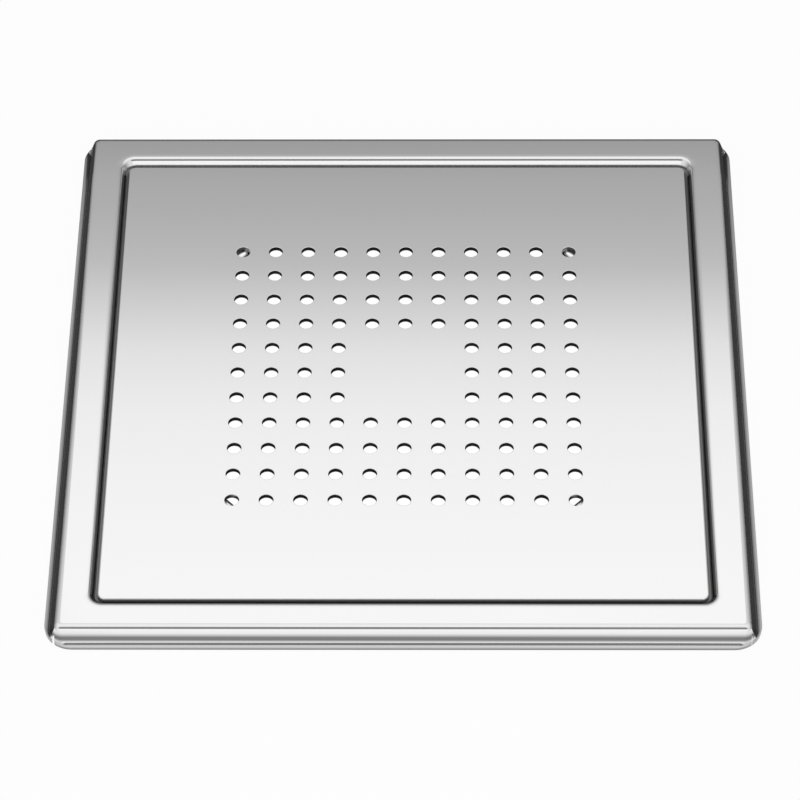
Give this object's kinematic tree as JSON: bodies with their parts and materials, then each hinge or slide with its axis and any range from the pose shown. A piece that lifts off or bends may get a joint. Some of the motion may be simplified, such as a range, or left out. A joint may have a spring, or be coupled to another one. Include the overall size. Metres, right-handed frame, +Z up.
{
  "type": "square shower drain",
  "caption": "Square floor drain top for a shower: a pressed steel tile frame with a raised border and a thin lip, and a loose perforated plate that lies in its recess.",
  "frame": {"origin": "middle of the footprint, on the plane of the lip's underside, where the frame stands on the floor", "axes": "+Z up, square to the plate; +X to the right and +Y to the back, along the frame's sides, seen from its front"},
  "size_m": [0.2036, 0.2036, 0.006],
  "materials": {
    "frame_steel": "bright satin",
    "plate_steel": "bright satin"
  },
  "bodies": {
    "root": {"tile_frame": "frame_steel", "grate_plate": "plate_steel"}
  },
  "joints": []
}
